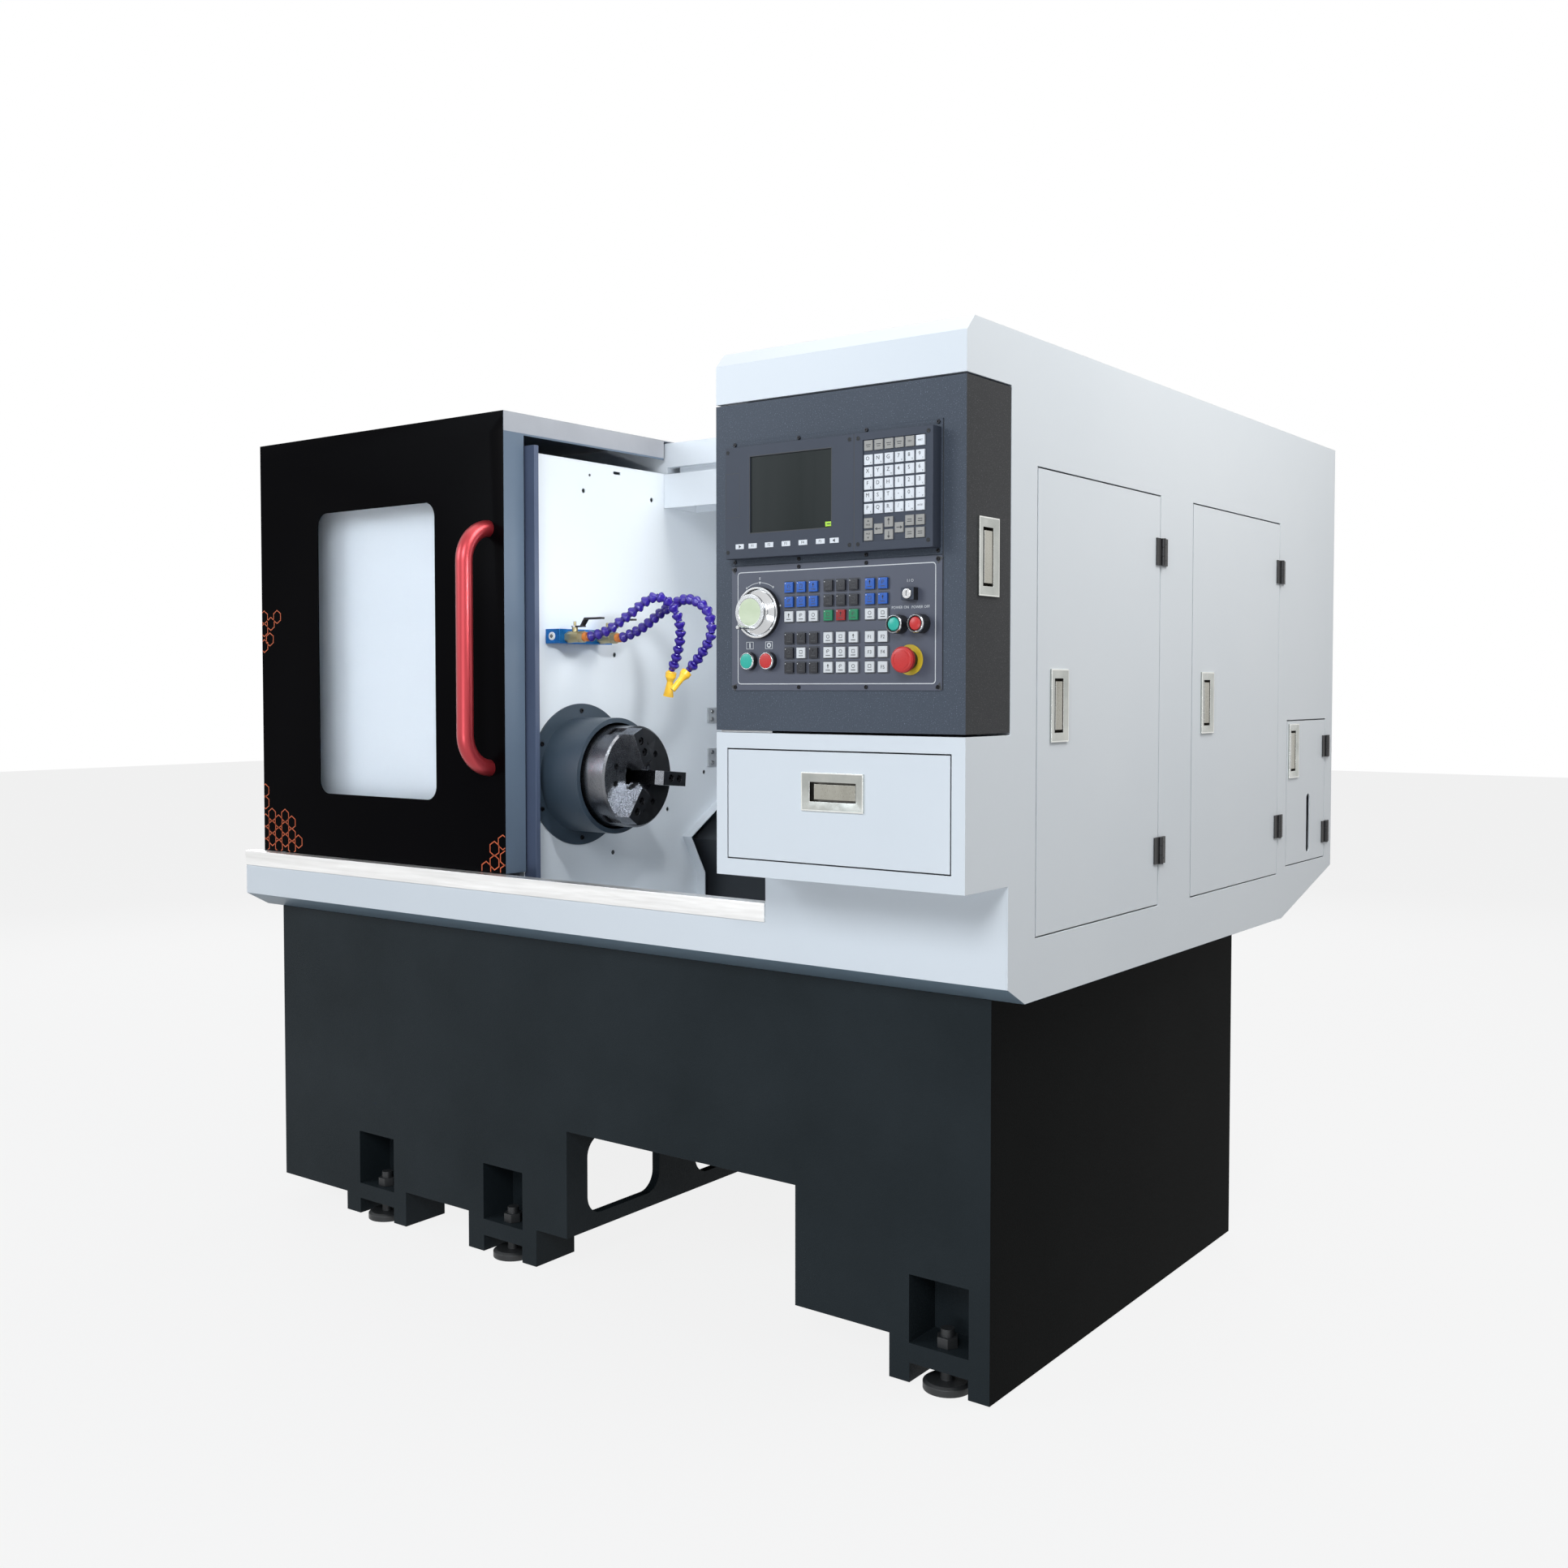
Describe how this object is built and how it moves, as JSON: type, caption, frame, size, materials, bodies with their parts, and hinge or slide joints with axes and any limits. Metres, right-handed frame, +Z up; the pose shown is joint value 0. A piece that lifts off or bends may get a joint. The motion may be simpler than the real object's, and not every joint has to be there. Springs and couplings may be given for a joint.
{
  "type": "cnc lathe",
  "caption": "Slant-bed metal-turning lathe in a sheet-metal enclosure with a sliding door, three-jaw chuck, tool turret and a swing-out control box on a cast base",
  "frame": {"origin": "centre of the machine's bounding box at floor level", "axes": "+X along the spindle from the headstock to the control side, +Y from the operator to the back, +Z up"},
  "size_m": [2.009, 1.772, 1.74],
  "materials": {
    "base_black": "semi-gloss paint over cast texture",
    "feet_black": "blackened",
    "bed_paint": "semi-gloss paint on a casting",
    "ground_steel": "ground",
    "head_paint": "semi-gloss paint on a casting",
    "motor_paint": "semi-gloss paint",
    "belt_rubber": "matt",
    "white_paint": "smooth white powder coat",
    "sill_steel": "long brushed",
    "jamb_paint": "satin navy paint",
    "cover_paint": "satin slate paint",
    "dark_sheet": "satin",
    "rail_steel": "cold drawn",
    "manifold_blue": "blue anodised",
    "valve_brass": "nickel-washed brass",
    "hose_indigo": "glossy",
    "fitting_plastic": "glossy",
    "hinge_black": "matt",
    "pivot_steel": "zinc plated",
    "panel_grey": "galvanised plate with plastic devices",
    "door_black": "gloss black",
    "door_pane": "clear",
    "handle_red": "red anodised",
    "box_grey": "fine speckled texture coat",
    "bezel_plastic": "moulded",
    "screen_glass": "dark",
    "plate_grey": "satin film",
    "key_plastic": "moulded keys in several colours",
    "ring_chrome": "polished",
    "pull_nickel": "satin nickel",
    "wheel_steel": "turned",
    "cap_green": "glossy",
    "cap_red": "glossy",
    "lock_chrome": "polished",
    "spindle_steel": "turned",
    "chuck_steel": "ground",
    "jaw_steel": "blackened",
    "slide_paint": "semi-gloss paint on a casting",
    "lever_black": "vinyl dipped"
  },
  "bodies": {
    "frame": {"base_casting": "base_black", "levelling_feet": "feet_black", "slant_bed": "bed_paint", "bed_rails": "ground_steel", "headstock": "head_paint", "spindle_motor": "motor_paint", "drive_belt": "belt_rubber", "chip_tray": "white_paint", "sill_strip": "sill_steel", "right_housing": "white_paint", "left_housing": "white_paint", "rear_housing": "white_paint", "headstock_wall": "white_paint", "door_jamb": "jamb_paint", "spindle_cover": "cover_paint", "work_lamp": "white_paint", "way_cover": "dark_sheet", "door_rail": "rail_steel", "coolant_manifold": "manifold_blue", "coolant_valves": "valve_brass", "coolant_hoses": "hose_indigo", "hose_fittings": "fitting_plastic", "hinge_leaves": "hinge_black", "control_pivots": "pivot_steel", "electrical_panel": "panel_grey"},
    "sliding_door": {"door_shell": "door_black", "door_window": "door_pane", "door_handle": "handle_red"},
    "control_box": {"control_housing": "box_grey", "screen_unit": "bezel_plastic", "screen_glass": "screen_glass", "keypad_unit": "bezel_plastic", "operator_plate": "plate_grey", "panel_keys": "key_plastic", "switch_bezels": "ring_chrome", "control_pull": "pull_nickel"},
    "handwheel": {"handwheel": "wheel_steel"},
    "power_on_button": {"power_on_button": "cap_green"},
    "power_off_button": {"power_off_button": "cap_red"},
    "start_button": {"start_button": "cap_green"},
    "stop_button": {"stop_button": "cap_red"},
    "estop_button": {"estop_button": "cap_red"},
    "key_switch": {"key_switch": "lock_chrome"},
    "drawer": {"drawer_box": "white_paint", "drawer_pull": "pull_nickel"},
    "side_door_front": {"side_door_front": "white_paint"},
    "side_door_middle": {"side_door_middle": "white_paint"},
    "side_door_rear": {"side_door_rear": "white_paint"},
    "spindle": {"spindle_shaft": "spindle_steel", "chuck_cylinder": "spindle_steel", "chuck_body": "chuck_steel"},
    "jaw_1": {"jaw_1": "jaw_steel"},
    "jaw_2": {"jaw_2": "jaw_steel"},
    "jaw_3": {"jaw_3": "jaw_steel"},
    "motor_pulley": {"motor_pulley": "spindle_steel"},
    "valve_lever_1": {"valve_lever_1": "lever_black"},
    "valve_lever_2": {"valve_lever_2": "lever_black"},
    "carriage": {"carriage": "slide_paint"},
    "cross_slide": {"cross_slide": "slide_paint"},
    "turret": {"turret_disc": "ground_steel"}
  },
  "joints": [
    {"name": "door_slide", "type": "slide", "parent": "frame", "child": "sliding_door", "axis": [1, 0, 0], "range_m": [0, 0.68]},
    {"name": "control_box_swing", "type": "hinge", "parent": "frame", "child": "control_box", "pos_m": [0.5335, -0.802, 1.38], "axis": [0, 0, -1], "range_deg": [0, 90]},
    {"name": "handwheel_turn", "type": "hinge", "parent": "control_box", "child": "handwheel", "pos_m": [0.609, -0.844, 1.306], "axis": [0, -1, 0], "continuous": true},
    {"name": "power_on_button_press", "type": "slide", "parent": "control_box", "child": "power_on_button", "axis": [0, 1, 0], "range_m": [0, 0.003], "stiffness_N_per_m": 600, "springref_m": -0.001},
    {"name": "power_off_button_press", "type": "slide", "parent": "control_box", "child": "power_off_button", "axis": [0, 1, 0], "range_m": [0, 0.003], "stiffness_N_per_m": 600, "springref_m": -0.001},
    {"name": "start_button_press", "type": "slide", "parent": "control_box", "child": "start_button", "axis": [0, 1, 0], "range_m": [0, 0.003], "stiffness_N_per_m": 600, "springref_m": -0.001},
    {"name": "stop_button_press", "type": "slide", "parent": "control_box", "child": "stop_button", "axis": [0, 1, 0], "range_m": [0, 0.003], "stiffness_N_per_m": 600, "springref_m": -0.001},
    {"name": "estop_button_press", "type": "slide", "parent": "control_box", "child": "estop_button", "axis": [0, 1, 0], "range_m": [0, 0.0045], "stiffness_N_per_m": 900, "springref_m": -0.001},
    {"name": "key_turn", "type": "hinge", "parent": "control_box", "child": "key_switch", "pos_m": [0.9013, -0.832, 1.3265], "axis": [0, -1, 0], "range_deg": [-90, 0]},
    {"name": "drawer_slide", "type": "slide", "parent": "frame", "child": "drawer", "axis": [0, -1, 0], "range_m": [0, 0.25]},
    {"name": "side_door_front_hinge", "type": "hinge", "parent": "frame", "child": "side_door_front", "pos_m": [1, -0.112, 1.15], "axis": [0, 0, 1], "range_deg": [0, 110]},
    {"name": "side_door_middle_hinge", "type": "hinge", "parent": "frame", "child": "side_door_middle", "pos_m": [1, 0.523, 1.15], "axis": [0, 0, 1], "range_deg": [0, 110]},
    {"name": "side_door_rear_hinge", "type": "hinge", "parent": "frame", "child": "side_door_rear", "pos_m": [1, 0.838, 0.95], "axis": [0, 0, 1], "range_deg": [0, 110]},
    {"name": "spindle_turn", "type": "hinge", "parent": "frame", "child": "spindle", "pos_m": [-0.0905, -0.448, 1], "axis": [1, 0, 0], "continuous": true},
    {"name": "motor_turn", "type": "hinge", "parent": "frame", "child": "motor_pulley", "pos_m": [-0.6945, -0.024, 1.06], "axis": [1, 0, 0], "continuous": true},
    {"name": "jaw_1_slide", "type": "slide", "parent": "spindle", "child": "jaw_1", "axis": [0, 0.9962, -0.0872], "range_m": [-0.0037, 0]},
    {"name": "jaw_2_slide", "type": "slide", "parent": "spindle", "child": "jaw_2", "axis": [0, -0.4226, 0.9063], "range_m": [-0.0037, 0]},
    {"name": "jaw_3_slide", "type": "slide", "parent": "spindle", "child": "jaw_3", "axis": [0, -0.5736, -0.8192], "range_m": [-0.0037, 0]},
    {"name": "valve_lever_1_turn", "type": "hinge", "parent": "frame", "child": "valve_lever_1", "pos_m": [-0.1045, -0.524, 1.312], "axis": [0, 0, 1], "range_deg": [-90, 0]},
    {"name": "valve_lever_2_turn", "type": "hinge", "parent": "frame", "child": "valve_lever_2", "pos_m": [-0.1045, -0.427, 1.312], "axis": [0, 0, 1], "range_deg": [-90, 0]},
    {"name": "carriage_slide", "type": "slide", "parent": "frame", "child": "carriage", "axis": [1, 0, 0], "range_m": [-0.25, 0]},
    {"name": "cross_slide_slide", "type": "slide", "parent": "carriage", "child": "cross_slide", "axis": [0, 0.866, 0.5], "range_m": [-0.15, 0]},
    {"name": "turret_index", "type": "hinge", "parent": "cross_slide", "child": "turret", "pos_m": [0.5005, -0.15343, 1.17019], "axis": [1, 0, 0], "continuous": true}
  ],
  "couplings": [
    {"joint": "motor_turn", "follows": "spindle_turn", "ratio": 1.375},
    {"joint": "jaw_2_slide", "follows": "jaw_1_slide", "ratio": 1},
    {"joint": "jaw_3_slide", "follows": "jaw_1_slide", "ratio": 1}
  ]
}
